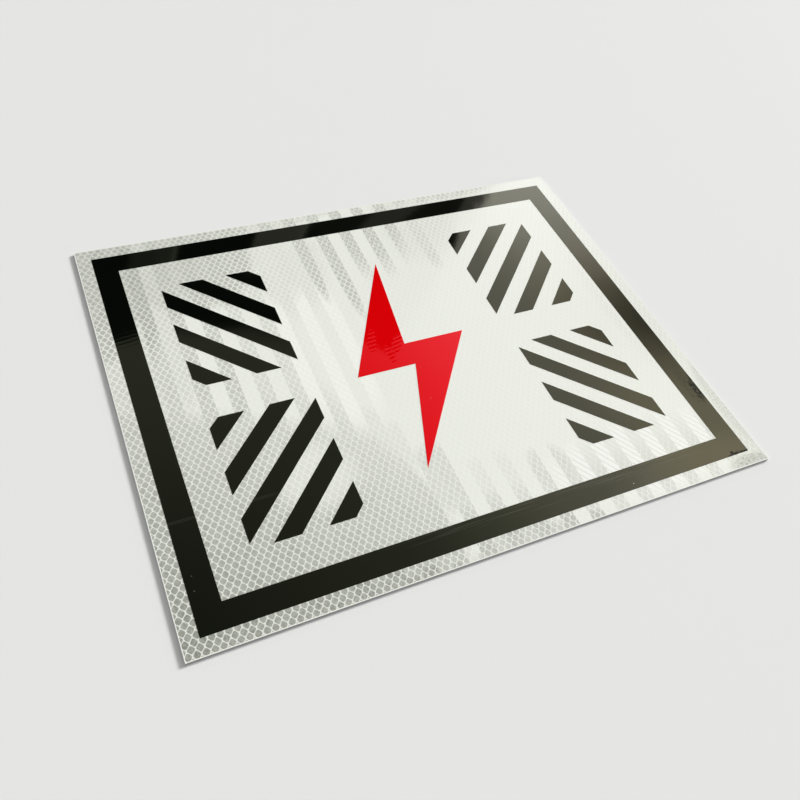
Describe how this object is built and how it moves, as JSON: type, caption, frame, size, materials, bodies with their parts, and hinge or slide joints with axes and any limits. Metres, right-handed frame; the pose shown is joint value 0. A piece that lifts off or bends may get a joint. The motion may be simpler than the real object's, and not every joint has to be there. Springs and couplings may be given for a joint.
{
  "type": "aluminium warning sign",
  "caption": "Flat rectangular aluminium sign faced with white reflective sheeting, with a black border, a red lightning bolt and fields of black diagonal stripes.",
  "frame": {"origin": "centre of the plate's flat back face, which the sign lies on", "axes": "+X along the long side to the sign's right as it is read, +Y to the sign's top edge, +Z out of its reflective face"},
  "size_m": [0.3, 0.24, 0.0015],
  "materials": {
    "plate_aluminium": "mill finish sheet with sheared edges",
    "prismatic_sheeting": "glossy clear face over diamond sealed prism cells in bands",
    "black_film": "glossy cut film",
    "red_film": "glossy cut film"
  },
  "bodies": {
    "root": {"backing_plate": "plate_aluminium", "reflective_sheeting": "prismatic_sheeting", "border_film": "black_film", "bolt_film": "red_film", "stripes_upper_left": "black_film", "stripes_upper_right": "black_film", "stripes_lower_left": "black_film", "stripes_lower_right": "black_film"}
  },
  "joints": []
}
